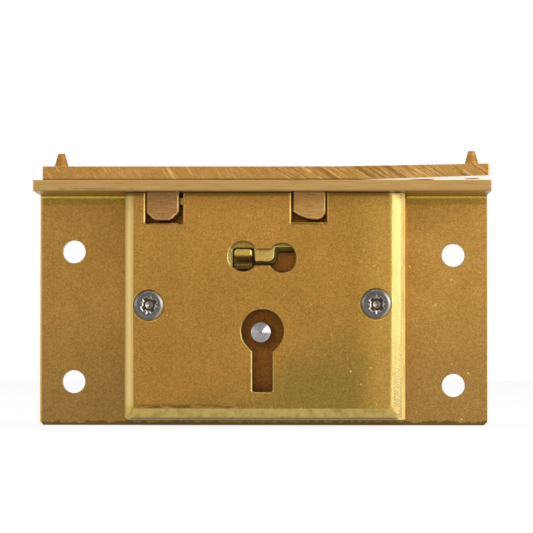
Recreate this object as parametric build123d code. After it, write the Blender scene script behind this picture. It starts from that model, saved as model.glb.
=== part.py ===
from build123d import *
import os
from math import atan, cos, degrees, radians, sin

# A surface lever lock for a small wooden box, in millimetres, seen from inside the box.
# X runs to the right, Y into the box wall and Z up. The origin is on the back face of the plate,
# behind the keyhole. A depth is a distance in front of that face, so it runs towards -Y.
# The lock is modelled unlocked: the bolt is to the right and the link plate can lift off.

# Back plate and selvedge, one bent strip
plate_width = 76.0
plate_thickness = 1.8
plate_bottom = 15.85
selvedge_top = 25.0
selvedge_depth = 16.0
bend_inner_radius = 0.55
plate_corner_cut = 0.6
fixing_hole_diameter = 3.9
fixing_hole_inset = 5.75
fixing_hole_top = 13.6
fixing_hole_pitch = 22.1
fixing_right_drop = 0.6

# Pressed cap
cap_left = 23.15
cap_right = 24.3
cap_bottom = 14.8
cap_top_gap = 0.05
cap_lever_gap = 0.5
cap_wall = 1.2
cap_left_bend = 1.6
cap_right_bend = 3.0
cap_bottom_bend = 1.9
cap_corner_radius = 0.9
least_inner_radius = 0.2
punched_edge = 0.2

# Keyhole in the cap and the pin that the key turns on
keyhole_radius = 3.51
keyhole_shoulder_angle = 48.0
keyhole_slot_width = 3.4
keyhole_slot_end = 10.14
keyhole_slot_radius = 0.35
key_pin_diameter = 3.3
key_pin_x = -0.25
key_pin_z = -0.2
key_pin_front = 0.5
key_pin_cone = 0.55
key_pin_tail_radius = 1.2
key_pin_tail_length = 1.3

# Inspection window in the cap, two rounds joined by a bar
window_left_x = -3.24
window_left_z = 12.53
window_left_radius = 2.45
window_right_x = 3.3
window_right_z = 12.26
window_right_radius = 2.37
window_bar_top = 13.64
window_bar_bottom = 11.1

# Cap screws and their posts
screw_x = 19.0
screw_left_z = 4.33
screw_right_z = 4.6
screw_head_radius = 2.45
screw_head_height = 1.5
screw_head_bevel = 0.3
screw_head_slope = 0.7
screw_seat_depth = 0.25
screw_seat_gap = 0.18
screw_shank_radius = 1.25
screw_shank_length = 6.2
screw_hole_gap = 0.2
screw_bore_gap = 0.05
screw_bore_spare = 0.5
cross_length = 2.7
cross_width = 0.8
cross_depth = 1.05
cross_taper = 9.0
left_screw_turn = 31.0
right_screw_turn = 45.0
post_radius = 2.1
post_tail_radius = 1.5

# Bolt, a flat tail with a head rail and two hook fingers
throw = 7.3
side_play = 0.1
bolt_thickness = 2.0
tail_left = -12.0
tail_right = 22.0
tail_bottom = 7.5
rail_bottom = 16.9
rail_top = 18.3
rail_set_back = 0.2
finger_depth = 3.0
finger_thickness = 1.2
finger_top = 22.43
finger_tip_round = 0.35
left_neck_width = 3.5
right_neck_width = 3.85
neck_root_round = 0.5
talon_depth = 1.8
talon_width = 6.6
talon_round = 0.6
tail_corner_round = 1.0

# Stump, fixed in the plate
stump_centre_x = -3.25
stump_width = 3.0
stump_bottom = 10.42
stump_top = 13.85
tongue_height = 0.6
stump_tail_radius = 1.1
stump_play = 0.15
stump_end_play = 0.25
stump_head_gap = 0.2
stump_head_round = 0.5
stump_foot_set_back = 0.1
stump_brow_set_back = 0.3
stump_slope_foot = 11.5
stump_slope_top = 12.75
stump_brow_round = 0.3

# Stud that guides the bolt's rear slot
guide_x = 12.0
guide_z = 14.4
guide_radius = 1.5
guide_tail_radius = 0.9
guide_play = 0.15
guide_set_back = 0.05

# Lever pack, carried on the bolt
lever_count = 4
lever_thickness = 1.2
lever_gap = 0.1
lever_edge_bevel = 0.1
pivot_x = 14.5
pivot_z = 9.9
pivot_radius = 1.4
pivot_play = 0.08
pivot_head_radius = 2.2
pivot_head_gap = 0.05
pivot_head_height = 0.35
pivot_tail_radius = 1.0
lever_boss_radius = 3.0
lever_shoulder_angle = 36.87
lever_left = -8.3
lever_top_left = 15.0
lever_top = 15.6
lever_top_knee = 5.0
lever_bottom = 7.0
lever_belly_reach = 6.5
lever_bellies = (7.9, 7.4, 8.1, 7.6)
lever_toe_rise = 1.2
lever_corner_round = 0.8
gate_play = 0.12
pocket_bottom = 9.2
left_pocket_top = 13.95
left_pocket_bevel = 0.35
right_pocket_tops = (13.35, 13.35, 13.8, 14.13)
pocket_spare = 0.75
front_tooth_bottom = 11.72
tooth_slant = 0.2
tooth_setback = 0.55
tooth_rear_setback = 0.15
tooth_round = 1.1
pocket_corner_round = 0.25

# Flat springs on the levers
spring_width = 0.9
spring_thickness = 0.25
spring_foot_left = 8.6
spring_foot_right = 11.4
spring_tip_x = -3.0
spring_tip_gap = 0.03
spring_bow = 0.35

# Link plate with its lugs and spikes, screwed to the lid
link_shorter_by = 2.0
link_centre_x = 0.6
link_thickness = 2.25
link_bend_x = 13.0
link_rise_bottom = 0.76
link_rise_top = 0.46
link_corner_round = 0.2
link_screw_radius = 1.75
link_screw_head_radius = 3.3
link_screw_head_depth = 1.5
link_screw_inset = 11.5
link_screw_depth = 8.0
left_lug_left = -19.55
left_lug_right = -13.95
left_lug_bottom = 18.55
left_lug_corner_cut = 1.4
left_lug_round = 1.1
right_lug_left = 5.03
right_lug_right = 10.6
right_lug_bottom = 18.68
right_lug_sweep_width = 3.87
right_lug_sweep_rise = 1.47
right_lug_round = 1.5
lug_back_wall = 1.2
lug_set_back = 0.2
lug_edge_bevel = 0.27
eye_side_play = 0.2
eye_height_play = 0.25
lug_tenon_inset = 1.3
lug_slot_gap = 0.25
notch_gap_left_lug = (0.1, 0.67)
notch_gap_right_lug = (0.23, 0.22)
notch_bottom = 18.05
notch_corner_round = 0.25
spike_inset = 2.5
spike_depth = 8.0
spike_base_radius = 1.3
spike_top_radius = 0.57
spike_height = 2.6

# Clearance round every riveted tail and tenon
rivet_gap = 0.02

# How far a cutter runs past the face that it opens
cutter_spare = 1.0

# Levels worked out from the sizes above
selvedge_underside = selvedge_top - plate_thickness
cap_top = selvedge_underside - cap_top_gap
bolt_back = plate_thickness + side_play
bolt_front = bolt_back + bolt_thickness
lever_first_depth = bolt_front + lever_gap
lever_pitch = lever_thickness + lever_gap
lever_stack_front = lever_first_depth + lever_pitch * (lever_count - 1) + lever_thickness
cap_inside = lever_stack_front + cap_lever_gap
cap_front = cap_inside + cap_wall
head_depth = lever_stack_front - rail_set_back
finger_bottom = finger_top - finger_thickness
finger_back = head_depth - finger_depth
lug_back = finger_back - eye_side_play - lug_back_wall
lug_front = cap_front - lug_set_back
stump_left = stump_centre_x - stump_width / 2
stump_right = stump_centre_x + stump_width / 2
stump_foot_front = cap_inside - stump_foot_set_back
stump_brow_front = cap_front - stump_brow_set_back
tongue_top = stump_bottom + tongue_height
link_width = plate_width - link_shorter_by
link_top = selvedge_top + link_thickness


def slab(outline, start, end):
    """Make a solid of an outline drawn from the front, between two depths."""
    return extrude(Plane.XZ.offset(start) * outline, amount=end - start)


def panel(left, right, bottom, top):
    """Give a plain rectangle by its four sides."""
    return Pos((left + right) / 2, (bottom + top) / 2) * Rectangle(right - left, top - bottom)


def block(left, right, bottom, top, start, end):
    """Give a plain block by its sides and depths."""
    return slab(panel(left, right, bottom, top), start, end)


def rod(x, z, radius, start, end):
    """Give a round bar along the depth."""
    return slab(Pos(x, z) * Circle(radius), start, end)


def rounded(outline, corners, radius):
    """Round the corners of an outline that lie nearest to the points given."""
    for corner in corners:
        outline = fillet(outline.vertices().sort_by_distance((corner[0], corner[1], 0))[0], radius)
    return outline


def slotted(x_from, x_to, z, radius):
    """Give a round-ended slot outline between two centres at one height."""
    ends = Pos(x_from, z) * Circle(radius) + Pos(x_to, z) * Circle(radius)
    return ends + panel(x_from, x_to, z - radius, z + radius)


def upright(x, depth, radius, bottom, top):
    """Give a round bar along Z."""
    return Pos(x, -depth, (bottom + top) / 2) * Cylinder(radius, top - bottom)


def back_plate():
    """One strip bent to an L, with the fixing holes, lug slots and rivet holes."""
    inside = -plate_thickness
    profile = make_face(
        Polyline(
            (0, -plate_bottom),
            (0, selvedge_top),
            (-selvedge_depth, selvedge_top),
            (-selvedge_depth, selvedge_underside),
            (inside, selvedge_underside),
            (inside, -plate_bottom),
            close=True,
        )
    )
    profile = rounded(profile, [(0, selvedge_top)], bend_inner_radius + plate_thickness)
    profile = rounded(profile, [(inside, selvedge_underside)], bend_inner_radius)
    strip = extrude(Plane.YZ.offset(-plate_width / 2) * profile, amount=plate_width)
    for side in (-1, 1):
        corner = (side * plate_width / 2, 0, -plate_bottom)
        edge = strip.edges().filter_by(Axis.Y).sort_by_distance(corner)[0]
        strip = chamfer(edge, plate_corner_cut)
    for x, top in fixing_columns():
        for row in (0, 1):
            strip -= rod(x, top - row * fixing_hole_pitch, fixing_hole_diameter / 2, 0, plate_thickness)
    for left, right in lug_sides():
        strip -= block(
            left - lug_slot_gap,
            right + lug_slot_gap,
            selvedge_underside,
            selvedge_top,
            lug_back - lug_slot_gap,
            lug_front + lug_slot_gap,
        )
    for x, z in screw_places():
        strip -= rod(x, z, post_tail_radius + rivet_gap, 0, plate_thickness)
    strip -= rod(stump_centre_x, stump_middle(), stump_tail_radius + rivet_gap, 0, plate_thickness)
    strip -= rod(guide_x, guide_z, guide_tail_radius + rivet_gap, 0, plate_thickness)
    pin_seat = plate_thickness - key_pin_tail_length
    strip -= rod(key_pin_x, key_pin_z, key_pin_tail_radius + rivet_gap, pin_seat, plate_thickness)
    return strip


def fixing_columns():
    """Give the x and the upper height of the left and right pairs of fixing holes."""
    column = plate_width / 2 - fixing_hole_inset
    return ((-column, fixing_hole_top), (column, fixing_hole_top - fixing_right_drop))


def lug_sides():
    """Give the left and right sides of the two lugs."""
    return ((left_lug_left, left_lug_right), (right_lug_left, right_lug_right))


def screw_places():
    """Give the centres of the two cap screws."""
    return ((-screw_x, screw_left_z), (screw_x, screw_right_z))


def stump_middle():
    """Give the height of the stump's rivet."""
    return (stump_bottom + stump_top) / 2


def cap_form(inset):
    """Give the cap's outer form, or its hollow when the wall is given as inset."""
    left = -cap_left + inset
    right = cap_right - inset
    bottom = -cap_bottom + inset
    front = cap_front - inset
    back = plate_thickness
    open_top = cap_top + inset
    plan = make_face(Polyline((left, -back), (right, -back), (right, -front), (left, -front), close=True))
    plan = rounded(plan, [(left, -front)], max(cap_left_bend - inset, least_inner_radius))
    plan = rounded(plan, [(right, -front)], max(cap_right_bend - inset, least_inner_radius))
    side = make_face(
        Polyline((-back, bottom), (-back, open_top), (-front, open_top), (-front, bottom), close=True)
    )
    side = rounded(side, [(-front, bottom)], max(cap_bottom_bend - inset, least_inner_radius))
    side = chamfer(side.vertices().sort_by_distance((-back, open_top, 0))[0], bend_inner_radius)
    face = panel(left, right, bottom, open_top)
    corner_radius = max(cap_corner_radius - inset, least_inner_radius)
    face = rounded(face, [(left, bottom), (right, bottom)], corner_radius)
    upright_form = extrude(Plane.XY.offset(bottom) * plan, amount=open_top - bottom)
    level_form = extrude(Plane.YZ.offset(left) * side, amount=right - left)
    return upright_form & level_form & slab(face, back, front)


def cap():
    """The pressed cover, open at the top, with its notches, window, keyhole and screw seats."""
    shell = cap_form(0) - cap_form(cap_wall)
    inner = cap_inside - cap_wall
    gaps = (notch_gap_left_lug, notch_gap_right_lug)
    for (left, right), (left_gap, right_gap) in zip(lug_sides(), gaps):
        sides = (left - left_gap, right + right_gap)
        notch = panel(sides[0], sides[1], notch_bottom, cap_top + cap_wall)
        notch = rounded(notch, [(side, notch_bottom) for side in sides], notch_corner_round)
        shell -= slab(notch, inner, cap_front)
    window = Pos(window_left_x, window_left_z) * Circle(window_left_radius)
    window += Pos(window_right_x, window_right_z) * Circle(window_right_radius)
    window += panel(window_left_x, window_right_x, window_bar_bottom, window_bar_top)
    shell -= slab(window, inner, cap_front)
    shell -= slab(keyhole(), inner, cap_front)
    for x, z in screw_places():
        shell -= rod(x, z, screw_shank_radius + screw_hole_gap, inner, cap_front)
        shell -= rod(x, z, screw_head_radius + screw_seat_gap, cap_front - screw_seat_depth, cap_front)
    front = shell.faces().sort_by(Axis.Y)[0]
    punched = [edge for wire in front.inner_wires() for edge in wire.edges()]
    punched += [edge for edge in front.outer_wire().edges() if notch_bottom <= edge.center().Z < cap_top]
    return chamfer(punched, punched_edge)


def keyhole():
    """Outline of the keyhole: a round that runs straight into its slot over two slanted shoulders."""
    half_slot = keyhole_slot_width / 2
    slot = panel(-half_slot, half_slot, -keyhole_slot_end, 0)
    ends = [(-half_slot, -keyhole_slot_end), (half_slot, -keyhole_slot_end)]
    slot = rounded(slot, ends, keyhole_slot_radius)
    angle = radians(keyhole_shoulder_angle)
    touch_x = keyhole_radius * sin(angle)
    touch_z = -keyhole_radius * cos(angle)
    foot_z = touch_z - (touch_x - half_slot) * sin(angle) / cos(angle)
    corners = ((-touch_x, touch_z), (touch_x, touch_z), (half_slot, foot_z), (-half_slot, foot_z))
    return Circle(keyhole_radius) + slot + make_face(Polyline(*corners, close=True))


def cap_screw(x, z, turn):
    """A pan head screw with a cross recess."""
    seat = cap_front - screw_seat_depth
    crown = seat + screw_head_height
    head = rod(x, z, screw_head_radius, seat, crown)
    rim = head.edges().filter_by(GeomType.CIRCLE).sort_by(Axis.Y)[0]
    head = chamfer(rim, screw_head_bevel, screw_head_slope)
    drive = Plane(origin=(x, -crown, z), x_dir=(1, 0, 0), z_dir=(0, 1, 0)) * Rot(0, 0, turn)
    cross = Rectangle(cross_length, cross_width) + Rectangle(cross_width, cross_length)
    head -= extrude(drive * cross, amount=cross_depth, taper=cross_taper)
    return head + rod(x, z, screw_shank_radius, seat - screw_shank_length, seat)


def screw_post(x, z):
    """A threaded post riveted in the plate, reaching the inside of the cap."""
    post = rod(x, z, post_radius, plate_thickness, cap_inside)
    bore_end = cap_front - screw_seat_depth - screw_shank_length - screw_bore_spare
    post -= rod(x, z, screw_shank_radius + screw_bore_gap, bore_end, cap_inside)
    return post + rod(x, z, post_tail_radius, 0, plate_thickness)


def key_pin():
    """The pin that a pipe key turns on, turned to a shallow point."""
    shoulder = cap_front + key_pin_front
    radius = key_pin_diameter / 2
    pin = rod(key_pin_x, key_pin_z, radius, plate_thickness, shoulder)
    point = Pos(key_pin_x, key_pin_z, key_pin_cone / 2) * Cone(radius, 0, key_pin_cone)
    pin += Plane.XZ.offset(shoulder) * point
    tail_end = plate_thickness - key_pin_tail_length
    return pin + rod(key_pin_x, key_pin_z, key_pin_tail_radius, tail_end, plate_thickness)


def stump():
    """The fixed stud: a block that guides the bolt, a tongue through the levers and a head in the window."""
    head_back = lever_stack_front + stump_head_gap
    foot = block(stump_left, stump_right, stump_bottom, stump_top, plate_thickness, bolt_front)
    tongue = block(stump_left, stump_right, stump_bottom, tongue_top, bolt_front, head_back)
    face = panel(stump_left, stump_right, stump_bottom, stump_top)
    face = rounded(face, [(stump_left, stump_top), (stump_right, stump_top)], stump_head_round)
    brow = slab(face, head_back, stump_brow_front)
    beyond = stump_brow_front + stump_width
    under = stump_bottom - stump_width
    relief = make_face(
        Polyline(
            (-stump_foot_front, under),
            (-stump_foot_front, stump_slope_foot),
            (-stump_brow_front, stump_slope_top),
            (-beyond, stump_slope_top),
            (-beyond, under),
            close=True,
        )
    )
    brow -= extrude(Plane.YZ.offset(stump_left) * relief, amount=stump_width)
    brow = fillet(brow.faces().sort_by(Axis.Y)[0].edges(), stump_brow_round)
    tail = rod(stump_centre_x, stump_middle(), stump_tail_radius, 0, plate_thickness)
    return foot + tongue + brow + tail


def bolt_guide_stud():
    """A flush stud that the bolt's rear slot slides on."""
    stud = rod(guide_x, guide_z, guide_radius, plate_thickness, bolt_front - guide_set_back)
    return stud + rod(guide_x, guide_z, guide_tail_radius, 0, plate_thickness)


def bolt():
    """The sliding bolt: slotted tail with its talon, head rail, and two necks that end in fingers."""
    tail = panel(tail_left, tail_right, tail_bottom, rail_bottom)
    ends = [(tail_left, tail_bottom), (tail_left, rail_bottom), (tail_right, tail_bottom)]
    tail = rounded(tail, ends, tail_corner_round)
    tail -= panel(
        stump_left - stump_end_play,
        stump_right + throw + stump_end_play,
        stump_bottom - gate_play,
        stump_top + stump_play,
    )
    tail -= slotted(guide_x, guide_x + throw, guide_z, guide_radius + guide_play)
    talon_middle = throw / 2
    talon_sides = (talon_middle - talon_width / 2, talon_middle + talon_width / 2)
    talon_top = tail_bottom + talon_depth
    talon = panel(talon_sides[0], talon_sides[1], tail_bottom - talon_depth, talon_top)
    tail -= rounded(talon, [(side, talon_top) for side in talon_sides], talon_round)
    body = slab(tail, bolt_back, bolt_front)
    neck_left = left_lug_right + side_play + throw + eye_side_play / 2
    body -= rod(pivot_x, pivot_z, pivot_tail_radius + rivet_gap, bolt_back, bolt_front)
    body += block(neck_left, tail_right, rail_bottom, rail_top, bolt_back, head_depth)
    right_neck_left = right_lug_right + eye_side_play + throw
    necks = ((neck_left, neck_left + left_neck_width), (right_neck_left, right_neck_left + right_neck_width))
    tips = (left_lug_right + side_play, right_lug_right + eye_side_play)
    for (left, right), tip in zip(necks, tips):
        hook = panel(left, right, rail_top, finger_top) + panel(tip, left, finger_bottom, finger_top)
        hook = rounded(hook, [(left, finger_bottom)], neck_root_round)
        hook = rounded(hook, [(tip, finger_bottom), (tip, finger_top), (right, finger_top)], finger_tip_round)
        body += slab(hook, finger_back, head_depth)
    return body


def lever_pivot():
    """The headed pin on the bolt that the levers turn on."""
    head_back = lever_stack_front + pivot_head_gap
    pin = rod(pivot_x, pivot_z, pivot_radius, bolt_front, head_back)
    pin += rod(pivot_x, pivot_z, pivot_head_radius, head_back, head_back + pivot_head_height)
    return pin + rod(pivot_x, pivot_z, pivot_tail_radius, bolt_back, bolt_front)


def lever(index):
    """One lever: bored boss, curved belly, and two pockets joined by the gate under its tooth."""
    belly = lever_bellies[index]
    angle = radians(lever_shoulder_angle)
    shoulder = (pivot_x + lever_boss_radius * cos(angle), pivot_z + lever_boss_radius * sin(angle))
    rise = lever_top - shoulder[1]
    back_corner = (shoulder[0] - rise * sin(angle) / cos(angle), lever_top)
    outline = make_face(
        Polyline(
            (-lever_belly_reach, lever_bottom),
            (lever_left, lever_bottom + lever_toe_rise),
            (lever_left, lever_top_left),
            (lever_top_knee, lever_top),
            back_corner,
            shoulder,
            (pivot_x, pivot_z),
            (pivot_x, pivot_z - lever_boss_radius),
            (lever_belly_reach, lever_bottom),
        )
        + ThreePointArc((lever_belly_reach, lever_bottom), (0, belly), (-lever_belly_reach, lever_bottom))
    )
    ends = [(lever_left, lever_bottom + lever_toe_rise), (lever_left, lever_top_left), back_corner]
    outline = rounded(outline, ends, lever_corner_round)
    outline += Pos(pivot_x, pivot_z) * Circle(lever_boss_radius)
    outline -= Pos(pivot_x, pivot_z) * Circle(pivot_radius + pivot_play)
    front_lever = index == lever_count - 1
    outline -= pocket(right_pocket_tops[index], front_lever)
    back = lever_first_depth + lever_pitch * index
    body = slab(outline, back, back + lever_thickness)
    if front_lever:
        pockets = body.faces().sort_by(Axis.Y)[0].inner_wires().sort_by(Axis.X)[0]
        body = chamfer(pockets.edges(), lever_edge_bevel)
        body -= left_pocket_wedge(back + lever_thickness)
    return body


def left_pocket_wedge(front):
    """Give the cut for the broad bevel down the left side of the front lever's left pocket."""
    left = stump_left - stump_end_play
    corners = ((left - left_pocket_bevel, -front), (left, -front), (left, left_pocket_bevel - front))
    height = left_pocket_top - pocket_corner_round - pocket_bottom
    return extrude(Plane.XY.offset(pocket_bottom) * make_face(Polyline(*corners, close=True)), amount=height)


def pocket(right_top, front_lever):
    """Outline of a lever's pockets and gate; the tooth's right side stands back from the thrown stump."""
    tooth_left = stump_right + stump_end_play
    tooth_right = stump_left + throw - (tooth_setback if front_lever else tooth_rear_setback)
    tooth_bottom = front_tooth_bottom if front_lever else tongue_top + gate_play
    gate_bottom = stump_bottom - gate_play
    left = stump_left - stump_end_play
    right = stump_right + throw + pocket_spare
    outline = make_face(
        Polyline(
            (left, pocket_bottom),
            (left, left_pocket_top),
            (tooth_left, left_pocket_top),
            (tooth_left + tooth_slant, tooth_bottom),
            (tooth_right - tooth_slant, tooth_bottom),
            (tooth_right, right_top),
            (right, right_top),
            (right, pocket_bottom),
            (tooth_right, pocket_bottom),
            (tooth_right, gate_bottom),
            (tooth_left, gate_bottom),
            (tooth_left, pocket_bottom),
            close=True,
        )
    )
    outline = rounded(outline, [(tooth_right - tooth_slant, tooth_bottom)], tooth_round)
    if not front_lever:
        return outline
    small = [
        (left, left_pocket_top),
        (left, pocket_bottom),
        (tooth_left + tooth_slant, tooth_bottom),
        (right, right_top),
        (right, pocket_bottom),
    ]
    return rounded(outline, small, pocket_corner_round)


def lever_spring(index):
    """A flat spring that lies on the lever's top and bows up to the head rail."""
    tip = (spring_tip_x, rail_bottom - spring_tip_gap - spring_thickness)
    heel = (spring_foot_left, lever_top)
    middle = ((tip[0] + heel[0]) / 2, (tip[1] + heel[1]) / 2 + spring_bow)
    lift = spring_thickness
    outline = make_face(
        Line((spring_foot_right, lever_top), heel)
        + ThreePointArc(heel, middle, tip)
        + Line(tip, (tip[0], tip[1] + lift))
        + ThreePointArc((tip[0], tip[1] + lift), (middle[0], middle[1] + lift), (heel[0], heel[1] + lift))
        + Line((heel[0], heel[1] + lift), (spring_foot_right, lever_top + lift))
        + Line((spring_foot_right, lever_top + lift), (spring_foot_right, lever_top))
    )
    back = lever_first_depth + lever_pitch * index + (lever_thickness - spring_width) / 2
    return slab(outline, back, back + spring_width)


def link_ends():
    """Give the left and right ends of the link plate."""
    return (link_centre_x - link_width / 2, link_centre_x + link_width / 2)


def link_plate():
    """The lid's plate, bent up a little on its right, with screw holes and rivet holes."""
    left, right = link_ends()
    outline = make_face(
        Polyline(
            (left, link_top),
            (left, selvedge_top),
            (link_bend_x, selvedge_top),
            (right, link_heights(right)[0]),
            (right, link_heights(right)[1]),
            (link_bend_x, link_top),
            close=True,
        )
    )
    plate = slab(outline, 0, selvedge_depth)
    plate = fillet(plate.edges().filter_by(Axis.Z), link_corner_round)
    for lug_left, lug_right in lug_sides():
        plate -= tenon(lug_left, lug_right, rivet_gap)
    for x in (left + link_screw_inset, right - link_screw_inset):
        hole_top = link_top + cutter_spare
        plate -= upright(x, link_screw_depth, link_screw_radius, selvedge_top - cutter_spare, hole_top)
        sink = Cone(link_screw_head_radius, link_screw_radius, link_screw_head_depth)
        plate -= Pos(x, -link_screw_depth, selvedge_top + link_screw_head_depth / 2) * sink
    for x in spike_places():
        hole = upright(0, 0, spike_base_radius + rivet_gap, -link_thickness - cutter_spare, cutter_spare)
        plate -= square_to_link(x) * hole
    return plate


def spike_places():
    """Give the x of the left and the right spike."""
    left, right = link_ends()
    return (left + spike_inset, right - spike_inset)


def link_heights(x):
    """Give the heights of the link plate's underside and top at x."""
    share = max(x - link_bend_x, 0) / (link_ends()[1] - link_bend_x)
    return selvedge_top + link_rise_bottom * share, link_top + link_rise_top * share


def square_to_link(x):
    """Give the place of a spike on the link plate's top at x, tilted as the plate is bent there."""
    tilt = atan(link_rise_top / (link_ends()[1] - link_bend_x)) if x > link_bend_x else 0
    return Pos(x, -spike_depth, link_heights(x)[1]) * Rot(0, -degrees(tilt), 0)


def tenon(left, right, gap):
    """The riveted tenon on top of a lug, or its slot in the link plate when a gap is given."""
    return block(
        left + lug_tenon_inset - gap,
        right - lug_tenon_inset + gap,
        selvedge_top,
        link_top,
        lug_back + lug_tenon_inset - gap,
        lug_front - lug_tenon_inset + gap,
    )


def lug(outline, left, right):
    """Make a lug of its front outline, with the eye for the bolt's finger and the tenon on top."""
    body = slab(outline, lug_back, lug_front)
    seen = body.faces().sort_by(Axis.Y)[0].edges()
    body = chamfer([edge for edge in seen if edge.center().Z < selvedge_top], lug_edge_bevel)
    body -= block(
        left,
        right,
        finger_bottom - eye_height_play,
        finger_top + eye_height_play,
        finger_back - eye_side_play,
        head_depth + eye_side_play,
    )
    return body + tenon(left, right, 0)


def link_lug_left():
    """The left lug, with both lower corners cut off and rounded over."""
    outline = panel(left_lug_left, left_lug_right, left_lug_bottom, selvedge_top)
    outline = chamfer(outline.vertices().group_by(Axis.Y)[0], left_lug_corner_cut)
    cut_ends = [vertex for vertex in outline.vertices() if vertex.Y < selvedge_top]
    return lug(fillet(cut_ends, left_lug_round), left_lug_left, left_lug_right)


def link_lug_right():
    """The right lug, with a filed sweep at its lower left and a round at its lower right."""
    sweep_top = (right_lug_left, right_lug_bottom + right_lug_sweep_rise)
    sweep_foot = (right_lug_left + right_lug_sweep_width, right_lug_bottom)
    corner = (right_lug_right, right_lug_bottom)
    tops = ((right_lug_right, selvedge_top), (right_lug_left, selvedge_top))
    sweep = TangentArc(sweep_foot, sweep_top, tangent=(-1, 0))
    outline = make_face(Polyline(sweep_foot, corner, *tops, sweep_top) + sweep)
    return lug(rounded(outline, [corner], right_lug_round), right_lug_left, right_lug_right)


def link_spike(x):
    """A blunt spike riveted square to the link plate, which bites into the lid."""
    underside, top = link_heights(x)
    outline = Polyline(
        (0, 0, underside - top),
        (spike_base_radius, 0, underside - top),
        (spike_base_radius, 0, 0),
        (spike_top_radius, 0, spike_height),
        (0, 0, spike_height),
        close=True,
    )
    return square_to_link(x) * revolve(make_face(outline), Axis.Z)


nodes = {
    "back_plate": back_plate(),
    "cap": cap(),
    "cap_screw_left": cap_screw(-screw_x, screw_left_z, left_screw_turn),
    "cap_screw_right": cap_screw(screw_x, screw_right_z, right_screw_turn),
    "screw_post_left": screw_post(-screw_x, screw_left_z),
    "screw_post_right": screw_post(screw_x, screw_right_z),
    "key_pin": key_pin(),
    "stump": stump(),
    "bolt_guide_stud": bolt_guide_stud(),
    "bolt": bolt(),
    "lever_pivot": lever_pivot(),
    "link_plate": link_plate(),
    "link_lug_left": link_lug_left(),
    "link_lug_right": link_lug_right(),
    "link_spike_left": link_spike(spike_places()[0]),
    "link_spike_right": link_spike(spike_places()[1]),
}
for index in range(lever_count):
    nodes[f"lever_{index + 1}"] = lever(index)
    nodes[f"lever_spring_{index + 1}"] = lever_spring(index)

os.makedirs("parts", exist_ok=True)
for name, solid in nodes.items():
    export_step(solid, f"parts/{name}.step")
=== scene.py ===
from math import cos, pi, radians, sin, sqrt

import bmesh
import bpy
from mathutils import Matrix, Vector


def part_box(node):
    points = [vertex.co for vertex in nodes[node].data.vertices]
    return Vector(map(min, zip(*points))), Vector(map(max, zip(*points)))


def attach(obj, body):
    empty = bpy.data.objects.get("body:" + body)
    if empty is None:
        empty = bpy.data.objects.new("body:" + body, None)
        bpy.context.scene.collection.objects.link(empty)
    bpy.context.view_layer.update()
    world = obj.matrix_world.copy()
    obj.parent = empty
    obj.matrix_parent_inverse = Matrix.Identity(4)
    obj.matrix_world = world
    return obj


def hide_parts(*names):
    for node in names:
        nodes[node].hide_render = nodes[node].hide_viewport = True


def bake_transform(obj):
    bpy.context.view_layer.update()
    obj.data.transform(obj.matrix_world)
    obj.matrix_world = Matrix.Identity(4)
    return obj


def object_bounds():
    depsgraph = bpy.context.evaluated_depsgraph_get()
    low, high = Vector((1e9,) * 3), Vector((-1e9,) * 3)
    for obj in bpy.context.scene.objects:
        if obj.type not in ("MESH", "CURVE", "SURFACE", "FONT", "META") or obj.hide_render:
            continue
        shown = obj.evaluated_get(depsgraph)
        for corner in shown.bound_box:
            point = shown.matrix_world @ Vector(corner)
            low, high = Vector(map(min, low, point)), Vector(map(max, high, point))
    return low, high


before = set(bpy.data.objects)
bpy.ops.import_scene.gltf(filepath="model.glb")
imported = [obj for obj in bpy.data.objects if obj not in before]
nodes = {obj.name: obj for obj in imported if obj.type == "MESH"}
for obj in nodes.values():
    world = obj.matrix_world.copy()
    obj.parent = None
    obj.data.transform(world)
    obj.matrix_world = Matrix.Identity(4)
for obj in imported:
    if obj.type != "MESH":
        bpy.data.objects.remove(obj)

# Looks of a brass lever box lock, in metres, in the same frame as the solids.
# Sizes of small details are given in millimetres and turned into metres with MM.
MM = 0.001
scene = bpy.context.scene
cad_box = [list(corner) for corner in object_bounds()]

# Camera, fitted to the photograph's outlines
CAMERA_PLACE = (10.418, -528.267, -5.608)
CAMERA_PITCH = 1.817
CAMERA_YAW = 1.078
CAMERA_ROLL = -0.039
CAMERA_LENS = 209.24
CAMERA_CLIP = (0.01, 10.0)

# Light and floor
FLOOR_HALF = 1500.0
FLOOR_DROP = 0.05
FLOOR_GLOW = 0.8
FLOOR_COLOR = (0.9, 0.9, 0.9, 1)
WHITE = (1, 1, 1, 1)
ROOM_FRONT = 0.66
ROOM_FRONT_REACH = (-1.0, -0.4)
ROOM_DIFFUSE = 0.85
LAMPS = {
    "key": {"place": (617, -481, 165), "size": (840, 540), "radiance": 3.1},
    "fill": {"place": (-700, -420, 120), "size": (700, 500), "radiance": 1.15},
    "top": {"place": (0, -250, 900), "size": (700, 500), "radiance": 1.6},
}
LAMP_AIM = (0, -8, 4)

# Places that the finishes follow, in millimetres. A pair is a soft step from its first value to its
# second, and three values are a strip's two ends and their softness.
CASE_LEFT = -23.1
CASE_RIGHT = 24.2
CASE_BOTTOM = -14.75
CASE_TOP = (22.0, 21.0)
CASE_EDGE = 0.3
CAP_HEIGHT = (-14.0, 22.0)
CAP_LEVELS = (0.94, 1.06)
CAP_LEFT_BEND = (-21.0, -21.6)
CAP_RIGHT_BEND = (20.8, 21.3)
CAP_LOW_BEND = (-12.4, -12.9)
CAP_LOW_BEND_ENDS = ((-22.4, -21.8), (23.0, 22.0))
CAP_LEFT_FOOT = (-11.8, -13.0)
CAP_TOP = (22.5, 22.75)
CAP_FLAT_WIDTH = (-20.5, 20.5, 0.3)
CAP_FLAT_FOOT = (-12.0, -11.6)
CAP_WARM_WIDTH = (-12.0, 5.0, 5.0)
CAP_WARM_FOOT = (12.0, 17.0)
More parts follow.
